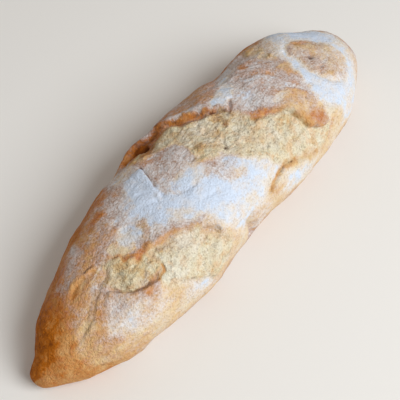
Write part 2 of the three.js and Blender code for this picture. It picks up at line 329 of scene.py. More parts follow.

# Cracks: narrow and dark, with their depth, half-width and how dark they are. The dark is
# painted shade in the crack, with some burnt brown.
CRACKS = [
    ("upper crack of the first slash", 0.7, 0.7, 0.6, [(-87.5, 9.3), (-84, 8.3), (-81.5, 6.3),
      (-78.5, 4.6)]),
    ("outer edge of the first slash", 0.4, 1.8, 0.3, [(-100, 3), (-97, 8), (-92, 10), (-86, 9)]),
    ("lower crack of the first slash", 1.6, 0.9, 0.7, [(-81.5, -17), (-80, -20), (-77, -22.4),
      (-73.5, -23.6), (-69.5, -22.6)]),
    ("pillow's edge", 0.7, 0.8, 0.3, [(-86, -8), (-84, -12), (-82, -16), (-80, -20)]),
    ("under the second lip", 0.6, 1, 0.25, [(-59, -13.8), (-53, -16.4), (-48, -18.4), (-42, -24)]),
    ("end of the second lip", 0.8, 0.8, 0.4, [(-31, -29), (-30, -34)]),
    ("under the ear", 1.6, 1.7, 0.9, [(-25, 36.5), (-20, 35), (-16, 33.6), (-11, 34)]),
    ("under the ear's face", 1.1, 0.7, 0.65, [(-3, 29.4), (0, 26.4), (5, 20.2), (10, 14.6), (15, 10.4)]),
    ("corner of the V tear", 0.9, 0.9, 0.9, [(14, 11.2), (20, 7), (23.5, 3.4), (26, 4.6), (29, 6.8),
      (31, 8.4)]),
    ("under the tongue", 0.9, 0.6, 0.4, [(35, -11), (40.4, -15.4), (43.6, -20.4), (45.4, -25.6),
      (46.2, -31), (47.4, -35.6)]),
    ("side crack", 1, 0.5, 0.8, [(27, -43), (23, -40.6), (19, -40.2), (15, -41)]),
    ("ends of the side crack", 0.9, 0.55, 0.35, [(42, -51.5), (33, -47.4), (25, -42), (20, -40.4),
      (14.5, -41.2), (9.5, -44), (4, -46)]),
    ("corner of the notch", 1, 1, 0.5, [(-12, -49), (-11.6, -56), (-10.6, -64)]),
    ("crack in the third slash", 0.8, 0.6, 0.4, [(11, -1), (6.5, -4.5), (2, -9)]),
    ("crack beside it", 0.6, 0.5, 0.35, [(-3, 6), (-7, 2), (-9, -4)]),
    ("edge of the split", 0.7, 0.7, 0.85, [(-34.6, 3), (-32.4, 9), (-29.6, 16), (-28, 22)]),
    ("step in the bulge's flour", 0.5, 0.7, 0.12, [(-38, 26), (-35, 20), (-37, 12)]),
    ("shadow side of the ridge", 0.6, 1.1, 0.12, [(-83.5, 1.5), (-89, -4), (-94.5, -8), (-99, -13),
      (-104, -15.5), (-109, -19)]),
    ("beside the V tear", 0.4, 1.2, 0.5, [(12, 9), (17, 6.5), (21, 2.5), (24, 0)]),
]

# Pinholes: centre, radius and how dark they are.
PINHOLES = [
    ((-107, -57), 1, 0.9),
    ((84, -5), 1.9, 0.75),
    ((82.5, -14), 1, 0.55),
    ((79, -16.5), 0.9, 0.55),
    ((56, -20), 0.7, 0.7),
    ((4, -7.8), 1.5, 0.7),
    ((-64, -31), 0.6, 0.5),
    ((27, -16), 0.8, 0.4),
]

# Unevenness of the whole crust: height, turn in radians a millimetre along X, Y, Z, and phase.
WAVES = [
    (0.45, (0.105, 0.061, 0.045), 0.7),
    (0.35, (-0.083, 0.128, 0.094), 2.1),
    (0.25, (0.213, -0.118, 0.15), 4),
]

# Small lumps of the skin and of the torn crumb: height and size in millimetres, and seed.
SKIN_LUMPS = [(0.32, 9, 3.1), (0.26, 4.2, 5.3), (0.13, 1.9, 7.7)]
CRUMB_LUMPS = [(0.85, 5.4, 11.3), (0.55, 2.9, 13.9), (0.3, 1.6, 15.1)]
CURL_SIZE, CURL_SEED = 3.2, 87.1  # brown curls in the torn crumb
CURL_WIDTH = 0.2  # as a share of the noise's height
CURL_HEIGHT = 0.4

# How raggedly the forms wander over the map along x and along g.
RAGGED_X = [(0.9, 5, 31.1), (0.5, 2.2, 33.7)]
RAGGED_G = [(0.9, 5, 35.9), (0.5, 2.2, 37.3)]

# Fine wrinkles that run slantwise over the upper bulge.
WRINKLE_HEIGHT = 0.5
WRINKLE_LENGTH, WRINKLE_SPACING = 4.5, 1.1
WRINKLE_TURN = np.radians(-50)  # of their run on the map
WRINKLE_CENTRE, WRINKLE_RADII = (48, 10), (17, 16)
WRINKLE_SEED = 97.9


def wrinkles(x, g):
    """Fine slanting wrinkles, from -1 to 1, that fade away round the upper bulge."""
    run = x * np.cos(WRINKLE_TURN) + g * np.sin(WRINKLE_TURN)
    across = g * np.cos(WRINKLE_TURN) - x * np.sin(WRINKLE_TURN)
    place = np.stack([run / WRINKLE_LENGTH, across / WRINKLE_SPACING, 0 * x], axis=-1)
    away = off_centre(WRINKLE_CENTRE, WRINKLE_RADII, x, g)
    return noise(place, 1.0, WRINKLE_SEED) * np.exp(-away ** 2)


def curls(points):
    """1 along thin, winding lines and 0 between them."""
    return 1 - ease(0, CURL_WIDTH, np.abs(noise(points, CURL_SIZE, CURL_SEED)))


def lip_form(lip, x, g):
    """How far a lip raises the crust, and how far it slides it towards the skin's side."""
    distance, side, along, left_x, left_g = nearest_on(lip["path"], x, g)
    signed = side * distance
    skin = lip["rise"] * np.exp(-distance / lip["skin"])
    crumb = -lip["drop"] * np.exp(-distance / lip["crumb"])
    fade = path_fade(along) * np.exp(-(distance / LIP_REACH) ** 4)
    height = fade * mix(crumb, skin, ease(-lip["face"], FACE_TOP, signed))
    middle = -lip["face"] / 2
    lean = np.exp(-np.abs(signed - middle) / LEAN_REACH) * fade * lip["over"]
    slide = -lean * np.clip((signed - middle) / (lip["face"] / 2), -1, 1)
    return height, slide * left_x, slide * left_g


def large_relief(points, x, g):
    """Height of the waves, creases and swellings."""
    height = 0
    for size, turn, phase in WAVES:
        height = height + size * np.sin(points @ np.array(turn) + phase)
    for _, depth, width, path in CREASES:
        height = height - depth * trace(path, width, x, g)
    for _, size, centre, radii in SWELLINGS:
        height = height + size * spot(centre, radii, x, g)
    return height


def crack_relief(x, g):
    """Height of the cracks and pinholes, which is below zero. A pinhole is as deep as wide."""
    height = 0
    for _, depth, width, _, path in CRACKS:
        height = height - depth * trace(path, width, x, g, share=0.2)
    for centre, radius, _ in PINHOLES:
        height = height - radius * spot(centre, (radius, radius), x, g)
    return height


# ---- layers of colour

# What a place on the crust can look like: flour, bake and crumb, each from 0 to 1.
LOOKS = {
    # Painted shade in a hollow, as very brown crust.
    "dark hollow": (0, 0.94, 0),
    "gold face": (0, 0.88, 0.4),
    "orange crust": (0, 0.8, 0),
    "tan crust": (0.02, 0.58, 0),
    "golden skin": (0.1, 0.46, 0),
    "gold hollow": (0.12, 0.66, 0.2),
    "sandy skin": (0.3, 0.48, 0),
    "honeyed skin": (0.14, 0.6, 0),
    "brown skin": (0.36, 0.62, 0),
    "bare flank": (0.06, 0.72, 0),
    "thinly dusted": (0.27, 0.65, 0),
    "speckled skin": (0.5, 0.66, 0),
    "greyed skin": (0.61, 0.7, 0),
    "dusty skin": (0.68, 0.56, 0),
    "dusty pillow": (0.62, 0.36, 0),
    "floury skin": (0.99, 0.45, 0),
    "white skin": (0.86, 0.22, 0),
    "bright flour": (0.94, 0.3, 0),
    "cream skin": (0.28, 0.25, 0),
    "light gold": (0.16, 0.36, 0),
    "smoky skin": (0.4, 0.74, 0),
    "creamy dust": (0.66, 0.24, 0),
    "beige skin": (0.62, 0.42, 0),
    "pale gold": (0.36, 0.48, 0.3),
    "end skin": (0.42, 0.52, 0),
    "browned edge": (0.04, 0.7, 0.2),
    "bare round": (0.36, 0.44, 0.3),
    "grey round": (0.46, 0.74, 0.3),
    "tongue": (0.23, 0.47, 0.1),
    "dark tongue": (0.12, 0.72, 0),
    "olive crumb": (0.24, 0.46, 1),
    "honey crumb": (0.15, 0.39, 1),
    "grey crumb": (0.42, 0.58, 1),
    "ashy crumb": (0.52, 0.44, 1),
    "cream crumb": (0.18, 0.2, 1),
    "pale crumb": (0.32, 0.22, 1),
    "toasted crumb": (0.16, 0.58, 1),
    "warm crumb": (0.26, 0.26, 0.8),
}

# Patches, painted in this order: look, width of the soft edge, outlines on the map.
PATCHES = [
    ("orange crust", 7, [(-135, 70), (-106, 52), (-103, 32), (-107, 14), (-112, -4), (-118, -14),
      (-135, -20)]),
    ("tan crust", 7, [(-135, -10), (-118, -10), (-112, -6), (-106, -20), (-102, -40), (-97, -52),
      (-96, -72), (-126, -95), (-135, -95)]),
    ("golden skin", 4, [(-110, -20), (-104, -18), (-97, -46), (-97, -58), (-106, -58), (-112, -46)]),
    ("cream skin", 6, [(-98, -44), (-80, -38), (-66, -30), (-26, -46), (-14, -46), (4, -40), (16, -36),
      (48, -50), (64, -44), (76, -56), (60, -61), (-60, -61), (-92, -56)]),
    ("bare flank", 7, [(-106, 14), (-96, 22), (-50, 30), (-30, 40), (-30, 70), (-106, 70)]),
    ("thinly dusted", 6, [(-104, -14), (-102, 6), (-92, 14), (-86, 26), (-60, 30), (-48, 28), (-50, 8),
      (-60, -3), (-66, -5), (-78, 6), (-86, 11), (-96, 6), (-92, -2), (-100, -10)]),
    ("thinly dusted", 3, [(-98, 16), (-98, 28), (-95, 28), (-95, 18)]),
    ("speckled skin", 3, [(-83, 16), (-82, 30), (-77, 30), (-77, 18)]),
    ("brown skin", 3, [(-73, 6), (-74, 16), (-69, 24), (-65, 20), (-66, 10), (-69, 4)]),
    ("dusty skin", 3, [(-68, -5), (-69, 4), (-60, 6), (-56, -2), (-59, -7)]),
    ("white skin", 6, [(-57, -38), (-46, -44), (-46, -58), (-54, -56), (-60, -46)]),
    ("dusty pillow", 5, [(-10, -46), (4, -48), (6, -62), (-8, -62)]),
    ("dusty skin", 5, [(-62, 0), (-61, 20), (-50, 26), (-44, 16), (-50, 0)]),
    ("floury skin", 6, [(-60, -6), (-54, 3), (-50, 12), (-44, 20), (-36, 24), (-27, 18), (-29, 8),
      (-31, 2), (-28, -2), (-13, -3), (-11, -12), (-7, -19), (-2, -26), (2, -32), (0, -40), (-12, -46),
      (-20, -46), (-25, -38), (-30, -29), (-36, -20), (-44, -14), (-52, -10)]),
    ("white skin", 4, [(-28, -22), (-22, -25), (-14, -32), (-6, -30), (2, -33), (2, -40), (-8, -46),
      (-20, -46), (-26, -36), (-29, -29)]),
    ("white skin", 2.5, [(-46, -9), (-41, -8), (-34, -14), (-32, -20), (-37, -19), (-43, -14)]),
    ("greyed skin", 2, [(-34, 1), (-31, 9), (-27, 19), (-22, 23), (-12, 17), (-8, 8), (-14, -1),
      (-28, -2)]),
    ("dusty skin", 4,
     [(-31, 0), (-28, 6), (-20, 7), (-12, 4), (-10, -5), (-14, -8), (-22, -7), (-29, -4)],
     [(-14, -2), (-8, -12), (4, -16), (4, -24), (-6, -24), (-15, -12)]),
    ("speckled skin", 5, [(-50, 24), (-40, 22), (-38, 40), (-48, 36)]),
    ("beige skin", 3, [(-42, 24), (-27, 22), (-25, 33), (-30, 38), (-34, 44), (-42, 40)]),
    ("thinly dusted", 2,
     [(-29, 16), (-28, 25), (-23, 25), (-22, 16)], [(-71, 6), (-70, 11), (-66, 11), (-65, 6)]),
    ("white skin", 6, [(-8, -22), (2, -21), (12, -28), (16, -33), (12, -38), (0, -42)]),
    ("thinly dusted", 4, [(-30, 38), (-10, 42), (4, 34), (10, 24), (18, 16), (24, 18), (34, 28), (44, 34),
      (40, 50), (0, 60), (-30, 56)]),
    ("browned edge", 2, [(-6, 33), (0, 27), (6, 20), (14, 12), (20, 7), (21, 10), (14, 17), (7, 25),
      (0, 31), (-5, 36)]),
    ("olive crumb", 1.5, [(-26, 30), (-18, 33), (-9, 31), (-2, 25), (4, 18), (10, 12.5), (16, 8), (22, 3),
      (26, -2), (33, -10), (26, -16), (18, -12), (8, -10), (0, -10), (-8, -10), (-12, -2), (-8, 8),
      (-14, 17), (-24, 22)]),
    # Grey crumb here is painted shade under the ear.
    ("grey crumb", 3, [(-22, 26), (-10, 26), (-3, 19), (5, 12), (2, 7), (-8, 13), (-18, 21)]),
    ("cream crumb", 3, [(8, -8), (18, -10), (26, -14), (33, -11), (39, -14), (43, -21), (45, -28),
      (46, -35), (50, -39.5), (57, -42), (62, -44), (58, -54), (48, -52), (40, -50), (33, -46), (26, -41),
      (19, -39), (14, -33), (10, -24), (4, -17)]),
    ("toasted crumb", 2, [(-14, -4), (-7, 2), (2, 2), (3, -4), (-4, -9), (-12, -9)]),
    ("grey crumb", 2, [(2, 2), (8, 6), (12, 4), (10, -3), (3, -3)]),
    # Darker golden crumb here is painted shade under the ear's overhang.
    ("gold hollow", 2, [(-25, 27), (-20, 20), (-14, 25), (-9, 29), (-11, 32), (-17, 31)]),
    # Painted shade in the hollow under the ear.
    ("dark hollow", 1.6, [(-22, 37.5), (-17, 38), (-10, 37), (-11, 33), (-15, 31.5), (-20, 33)]),
    # The ear's golden torn face, darkened and warmed in part as painted shade and bounce light under the
    # ear.
    ("gold face", 1, [(-12, 35), (-7, 36), (-2, 33.5), (3, 28.5), (9, 21.5), (15, 15), (14, 13),
      (10.3, 16.5), (5.5, 20), (3.9, 23), (0.8, 26), (-1, 30), (-5.4, 33), (-9, 33.5)]),
    ("pale crumb", 2, [(16, -3), (21, -4), (27, -8), (28, -14), (23, -17), (16, -16), (13, -10)]),
    ("pale crumb", 4, [(20, -20), (30, -18), (40, -30), (40, -40), (30, -38), (20, -30)]),
    ("toasted crumb", 2.5, [(35, -18), (40, -18), (41, -22), (37, -23)]),
    ("warm crumb", 3, [(-8, -8), (4, -14), (16, -22), (24, -24), (24, -18), (14, -12), (2, -6)]),
    ("ashy crumb", 2, [(0, 10), (6, 14), (12, 9), (14, 3), (12, -1), (7, -2), (3, 1), (2, 6)]),
    ("ashy crumb", 1.5, [(19, -1), (22, 0), (26, -2), (26, -4), (22, -5)]),
    ("ashy crumb", 1.2, [(5, -3.5), (9, -3), (9, -6), (5.5, -6.5)]),
    ("toasted crumb", 1.2, [(12, 7), (17, 3.5), (19, 1), (18.5, -1), (15, -1), (13, 3)]),
    ("greyed skin", 2, [(-15, -3), (-8, -5), (-3, -8.5), (1.5, -13.5), (-2, -18), (-8, -12), (-14, -8)]),
    ("white skin", 2, [(2, -15.5), (5.5, -19.5), (11.5, -25), (16, -30.5), (13, -34), (7, -29),
      (2, -22)]),
    ("honey crumb", 1.2, [(-88, 4), (-83, 6), (-78, 3), (-74, -2), (-70, -6), (-66, -9), (-63, -13),
      (-64, -20), (-67, -23), (-72, -23), (-78, -21), (-82, -15), (-85, -7), (-90, 0)]),
    # Grey crumb here is painted shade above the first slash's lower crack.
    ("grey crumb", 2, [(-79, -18), (-74, -17), (-68, -18), (-68, -22), (-74, -23)]),
    ("toasted crumb", 2, [(-89, 3), (-86, 8), (-81, 6), (-82, 1), (-84, -7), (-87, -6)]),
    ("pale crumb", 2, [(-62, -13), (-56, -13), (-50, -15), (-43, -19), (-37, -24), (-32, -30), (-29, -38),
      (-27, -46), (-34, -56), (-46, -54), (-56, -44), (-66, -34), (-68, -26), (-65, -22), (-63, -18)]),
    # Grey and ashy crumb here are painted shade under the second slash's lip.
    ("grey crumb", 2, [(-60, -14), (-54, -14), (-48, -18), (-50, -22), (-58, -19)]),
    ("ashy crumb", 2, [(-57, -14.5), (-50, -16), (-44, -19), (-42, -23), (-46, -27), (-51, -24),
      (-56, -19)]),
    ("honey crumb", 2, [(-44, -31), (-41, -30), (-40, -35), (-43, -36)]),
    ("toasted crumb", 2.5, [(-41, -30), (-38, -30), (-35, -35), (-38, -36)]),
    ("dusty pillow", 4, [(-100, -26), (-95, -19), (-89, -12), (-86, -15), (-83, -23), (-77, -30),
      (-70, -36), (-74, -42), (-84, -44), (-94, -38)]),
    ("dusty skin", 6, [(-90, -14), (-86, -16), (-84, -24), (-90, -26), (-93, -20)]),
    ("speckled skin", 4, [(24, 8), (30, 18), (40, 30), (52, 36), (66, 34), (76, 24), (75, 8), (70, -2),
      (66, -14), (60, -18), (52, -9), (42, -5), (30, -4)]),
    ("sandy skin", 4, [(-106, -8), (-98, -2), (-88, 2), (-90, -6), (-99, -12), (-104, -20), (-109, -22)]),
    ("honeyed skin", 3, [(-101, -2), (-99, 5), (-94, 12), (-88, 10), (-83, 9), (-80, 4), (-84, 1),
      (-90, 0), (-95, -5)]),
    ("tan crust", 2.5, [(-99, 4), (-97, 13), (-91, 12), (-89, 8), (-93, 5)]),
    ("toasted crumb", 2, [(-83, -1), (-79, -1), (-77, -5), (-80, -7), (-83, -5)]),
    ("sandy skin", 3, [(-104, -22), (-98, -24), (-98, -32), (-103, -32)]),
    ("dusty skin", 4,
     [(28, 8), (34, 20), (42, 28), (44, 22), (39, 12), (40, 4), (46, -4), (44, -10), (38, -9), (32, -5),
      (27, 0)], [(40, 20), (46, 18), (58, 22), (60, 32), (50, 36), (42, 30)]),
    ("brown skin", 2, [(48, 17), (52, 21), (56, 20), (55, 16)]),
    ("pale gold", 3, [(62, 10), (64, 24), (68, 34), (77, 33), (80, 22), (77, 12), (71, 6), (66, 7)]),
    ("toasted crumb", 1.5,
     [(66, 26), (67, 31), (70, 31), (70, 26)], [(70, 19), (71, 23), (74, 23), (74, 19)],
     [(65, 10), (66, 14), (70, 15), (72, 12), (69, 9)], [(-11, 19), (-7, 23), (-5, 20), (-9, 17)]),
    ("brown skin", 3, [(50, 10), (58, 13), (65, 9), (70, -2), (68, -6), (60, -3), (54, -1)]),
    ("white skin", 1.6, [(18, 10), (21, 14), (27, 16), (34, 18), (38, 19), (36, 12), (31, 9), (28, 6.5),
      (24, 5)]),
    ("speckled skin", 2.5, [(37, 8), (42, 12), (48, 8), (51, 3), (48, -3), (42, -3), (38, 1)]),
    ("golden skin", 2, [(61, 1), (69, 1.5), (73, -4), (68, -9), (62, -6)]),
    ("tongue", 2, [(38, -13), (42, -8.5), (48, -7), (53, -11), (58, -16), (61, -24), (62, -32), (60, -39),
      (52, -40), (48, -34), (47, -27), (44, -19)]),
    ("dark tongue", 3, [(49, -30), (53, -29), (58, -32), (58, -38), (52, -38)]),
    ("browned edge", 1.6, [(26, -6), (30, -4), (33, -7), (31, -10.5), (27, -10)]),
    ("dark tongue", 1.6, [(26, -3), (31, -2), (36, -7), (38, -12), (34, -11), (29, -8)]),
    ("white skin", 4, [(72, 3), (73, 9), (77, 14), (80, 24), (88, 34), (100, 30), (112, 26), (140, 20),
      (140, -70), (100, -70), (84, -62), (70, -56), (62, -44), (63, -30), (62, -20), (65, -14),
      (70, -7)]),
    ("white skin", 3, [(67, -12), (72, -2), (75, -6), (75, -16), (78, -26), (76, -34), (68, -34)]),
    ("bright flour", 3, [(66, -12), (72, -10), (76, -18), (79, -28), (84, -32), (78, -38), (70, -33),
      (66, -24)]),
    ("cream skin", 3,
     [(61, -34), (66, -34), (72, -43), (71, -54), (62, -50)],
     [(-106, -12), (-101, -11), (-98, -15), (-101, -20), (-106, -19)]),
    # These two patches make the blunt end's edge browner, partly real browning and partly painted shade
    # where the end turns away.
    ("beige skin", 6, [(119, 2), (119, 12), (116, 30), (140, 40), (140, -70), (100, -70), (94, -58),
      (108, -42), (114, -20)]),
    ("thinly dusted", 4, [(116, 8), (114, 20), (115, 30), (130, 30), (130, 10)]),
    ("end skin", 5, [(121, 120), (160, 120), (160, -120), (121, -120)]),
    ("floury skin", 3, [(100, 5), (104, 0), (109, 0), (110, 10), (106, 20), (98, 24), (92, 16)]),
    ("bare round", 2, [(77, 4), (80, 8.5), (85, 10), (90, 8), (97, 2.5), (101.5, -2), (103, -8),
      (103, -16), (100, -22), (95, -26), (89, -28), (83, -26), (79, -22), (76, -17), (75, -12),
      (76, -5)]),
    ("beige skin", 3,
     [(80, -24), (90, -24), (100, -20), (98, -28), (90, -32), (83, -29)],
     [(95, -20), (98, -8), (103, -8), (103, -16), (100, -22)]),
    ("grey round", 2.5, [(77, -6), (80, 1), (87, -1), (88, -8), (83, -17), (77, -16)]),
    ("brown skin", 1.5, [(77, 2), (80, 8), (86, 10), (93, 6), (98, 2), (92, 4), (85, 7), (80, 3)]),
    ("smoky skin", 2, [(41, 0), (43, 5), (48, 5), (48, 0)]),
    ("beige skin", 2,
     [(-33, -25), (-30, -24), (-27, -32), (-29, -36), (-32, -30)],
     [(-7, -19), (-3, -19), (1, -23), (-1, -26), (-5, -24)]),
    ("honey crumb", 2, [(26, -11), (31, -11), (32, -16), (27, -17)]),
    ("light gold", 4, [(-98, -46), (-86, -47), (-80, -52), (-86, -58), (-98, -56)]),
    ("light gold", 3, [(-108, -46), (-97, -46), (-96, -54), (-106, -55)]),
    ("bare flank", 3, [(-68, 18), (-66, 26), (-58, 26), (-58, 19)]),
    ("golden skin", 2.5, [(-112, -20), (-106, -20), (-105, -27), (-111, -28)]),
    ("creamy dust", 3,
     [(-10, -38), (-3, -38), (0, -43), (-6, -46), (-12, -44)],
     [(6, -49), (12, -46), (20, -43.5), (27, -46), (34, -51), (42, -56), (36, -62), (18, -62)]),
    ("white skin", 2.5,
     [(-28, 0), (-20, 1), (-13, -3), (-12, -8), (-18, -9), (-27, -5)],
     [(38, 20), (44, 20), (44, 25), (38, 25)]),
    ("beige skin", 3, [(84, -4), (92, -5), (93, -12), (86, -13)]),
    ("light gold", 2.5, [(6, -46), (14, -46), (18, -50), (12, -53), (6, -52)]),
    ("white skin", 2.5, [(10, -39), (14, -36), (18, -38.5), (16, -44), (11, -44)]),
]

# Streaks: look, half-width, path on the map.
STREAKS = [
    ("sandy skin", 1.8, [(-53, -2), (-57, -5.5), (-61, -9.5)]),
    ("browned edge", 0.7, [(-69, -27), (-66, -25.5), (-64.5, -22)]),
    ("gold hollow", 0.8, [(-76, 1.5), (-72, -4.5), (-67, -8.5)]),
    ("sandy skin", 0.6, [(65, -42), (62, -49), (58, -56)]),
    ("speckled skin", 1.2, [(-22, 42), (-17, 42), (-8, 40), (0.6, 35.4), (6, 29), (12, 21.7),
      (17.5, 15.2)]),
    ("dusty skin", 1, [(6, 29), (12, 21.7), (17.5, 15.2)]),
    ("cream skin", 2, [(-72, 1), (-69, -1.5), (-66, -3.5)]),
    ("white skin", 2.4, [(-61, 3), (-60, -2)]),
    ("dusty skin", 1.2, [(46, -1), (49, -4.8), (54.5, -9), (59, -14)]),
    ("golden skin", 1.2, [(27, -42.5), (20, -40), (14, -41), (8, -44)]),
    ("pale crumb", 0.8, [(-65, -12), (-66, -17.5), (-69, -21.5)]),
    ("dark tongue", 1.8, [(-67, -9.5), (-61, -10.5)]),
    # A paler streak on the ridge's top: flour, lightened further as a painted highlight.
    ("creamy dust", 1.1, [(-80.5, 2.5), (-84.5, 0.5), (-89, -2.5), (-94, -7)]),
    ("white skin", 1.6, [(-66, 0.5), (-63, -1)]),
    ("creamy dust", 1.6, [(42, -8), (47, -9.5)]),
    ("pale crumb", 1.2, [(39, -15.5), (43, -19)]),
    ("sandy skin", 2.2, [(-82, 0), (-88, -2), (-93, -6), (-98, -10)]),
]

STREAK_EDGE = (0.5, 1.8)  # where the soft edge of a streak starts and ends, in half-widths

# The unpainted crust: flour and bake, what each stretch of the loaf adds to them, and where
# on the map it starts and is complete.
PLAIN_CRUST = (0.34, 0.60)
POINTED_END, FAR_FLANK = (-0.34, 0.10), (-0.24, 0.12)
FAR_FOOT, NEAR_FLANK = (0.10, 0), (-0.10, -0.22)
TO_POINT, TO_BLUNT_END = (-86, -114), (108, 124)
TO_FAR_FLANK, TO_FAR_FOOT, TO_NEAR_FLANK, TO_NEAR_FOOT = (0, 45), (60, 90), (-25, -52), (-58, -72)
# The near flank turns browner again towards its foot: painted shade where the loaf meets the floor.
NEAR_FOOT_SHADE = 0.8  # of the near flank's paleness, lost again towards its foot

# Uneven paint: reach, size in millimetres and seed. The first moves the patches' edges, along
# x with its own seeds and along g with seeds that are shifted.
EDGE_WANDER = [(2, 8, 21.7), (1.3, 3, 23.3)]
WANDER_SHIFT = 40
UNEVEN_FLOUR = [(0.2, 8, 71.3), (0.14, 3.6, 73.9), (0.12, 1.8, 75.1)]
UNEVEN_BAKE = [(0.1, 9, 81.7), (0.08, 4, 83.3), (0.08, 1.9, 85.9)]
SKIN_UNEVENNESS, CRUMB_UNEVENNESS = 0.8, 1.2  # shares of UNEVEN_BAKE
STREAK_SHAPE = np.array([0.16, 1, 1])  # stretches brush marks along the loaf
FLOUR_MARKS = [(0.12, 1.6, 77.7)]
BAKE_MARKS = [(0.07, 1.6, 89.3)]
RAGGED_RIM = [(0.5, 5, 61.7), (0.5, 2, 63.1)]
RIM_STRENGTH, CRACK_STRENGTH, FAINTEST_CRACK = 0.7, 0.75, 0.1
# A crack's painted shade, with its burnt brown, is this much wider than the crack.
CRACK_SHADE_WIDTH = 1.1  # how much wider than a crack its colour is
BROKEN_CRACKS = [(0.6, 2.4, 67.3)]
SPOT_EDGE = (0.2, 0.6)  # of the spots on torn crumb
DUSTED_SPOTS, TOASTED_SPOTS = (0.25, 5.5, 93.7), (0.25, 5, 91.3)
TOASTED_CURLS = 0.14
WRINKLE_DUST = 0.32  # flour on the crests of the wrinkles
RIM_FADE = 2.8  # width of a browned rim's outer edge
RIM_FLOUR, RIM_CRUMB = 0.02, 0.2


def spots(points, strength, size, seed):
    """Scattered soft spots, from 0 to their strength."""
    return strength * ease(*SPOT_EDGE, noise(points, size, seed))


def base_look(x, g):
    """The crust where nothing is painted."""
    tip, foot = ease(*TO_POINT, x), ease(*TO_FAR_FOOT, g)
    far = ease(*TO_FAR_FLANK, g) * (1 - ease(*TO_BLUNT_END, x))
    # Browner again towards the near flank's foot, as painted shade.
    near = (ease(*TO_NEAR_FLANK, g) - NEAR_FOOT_SHADE * ease(*TO_NEAR_FOOT, g)) * (1 - tip)
    shares = {POINTED_END: tip, FAR_FLANK: far, FAR_FOOT: foot, NEAR_FLANK: near}
    flour, bake = (plain + sum(added[layer] * share for added, share in shares.items())
                   for layer, plain in enumerate(PLAIN_CRUST))
    return np.clip(flour, 0, 1), bake, np.zeros(x.shape)


def rim_cover(lip, points, x, g):
    """How much of the browned, ragged rim of a lip covers each point."""
    distance, side, along = nearest_on(lip["path"], x, g)[:3]
    signed = side * distance
    face = ease(-lip["face"] - 1, -lip["face"] / 2, signed)
    face = face * (1 - ease(lip["spill"] - RIM_FADE, lip["spill"], signed))
    ragged = np.clip(RIM_STRENGTH + layered_noise(points, RAGGED_RIM), 0, 1)
    return face * path_fade(along) * ragged * lip["edge"]


def shade_and_scorch_layer(points, x, g):
    """How dark the cracks and pinholes are: in the cracks this is painted shade, with some burnt brown.
    """
    shade_and_scorch = np.zeros(x.shape)
    broken = np.clip(layered_noise(points, BROKEN_CRACKS, start=CRACK_STRENGTH), FAINTEST_CRACK, 1)
    for _, _, width, dark, path in CRACKS:
        shade = dark * trace(path, CRACK_SHADE_WIDTH * width, x, g, share=0.15)
        shade_and_scorch = np.maximum(shade_and_scorch, shade * broken)
    for centre, radius, dark in PINHOLES:
        shade_and_scorch = np.maximum(shade_and_scorch, dark * spot(centre, (radius, radius), x, g))
    return shade_and_scorch


def paint_layers(points, x, g):
    """The four layers at every point: flour, bake, crumb, and crack shade with burnt brown."""
    wander = [layered_noise(points, EDGE_WANDER, shift=shift) for shift in (0, WANDER_SHIFT)]
    px, pg = x + wander[0], g + wander[1]
    layers = list(base_look(px, pg))

    def lay(look, cover):
        for i, value in enumerate(LOOKS[look]):
            layers[i] = mix(layers[i], value, cover)

    for look, soft, *outlines in PATCHES:
        for outline in outlines:
            edge = nearest_on(outline + outline[:1], px, pg)[0]
            signed = np.where(inside(outline, px, pg), edge, -edge)
            lay(look, ease(-soft, soft, signed))
    for look, width, path in STREAKS:
        distance = nearest_on(path, px, pg)[0]
        lay(look, 1 - ease(*STREAK_EDGE, distance / width))
    flour, bake, crumb = layers
    for lip in LIPS:
        cover = rim_cover(lip, points, px, pg)
        flour = mix(flour, RIM_FLOUR, cover)
        bake = mix(bake, lip["rim"], cover)
        crumb = mix(crumb, RIM_CRUMB, cover)
    half_dusted = 4 * flour * (1 - flour)
    stretched = points * STREAK_SHAPE
    flour = flour + half_dusted * layered_noise(points, UNEVEN_FLOUR)
    flour = flour + half_dusted * layered_noise(stretched, FLOUR_MARKS)
    flour = flour + crumb * spots(points, *DUSTED_SPOTS)
    flour = flour + WRINKLE_DUST * np.maximum(0, wrinkles(px, pg))
    uneven = layered_noise(points, UNEVEN_BAKE)
    toasted = TOASTED_CURLS * curls(points) + spots(points, *TOASTED_SPOTS)
    toasted = toasted + CRUMB_UNEVENNESS * uneven
    bake = bake + SKIN_UNEVENNESS * uneven + crumb * (0.5 + bake) * toasted
    bake = bake + (1 - crumb) * layered_noise(stretched, BAKE_MARKS)
    return dict(flour=np.clip(flour, 0, 1), bake=np.clip(bake, 0, 1), crumb=crumb,
                shade_and_scorch=shade_and_scorch_layer(points, x, g))


# ---- the loaf's mesh

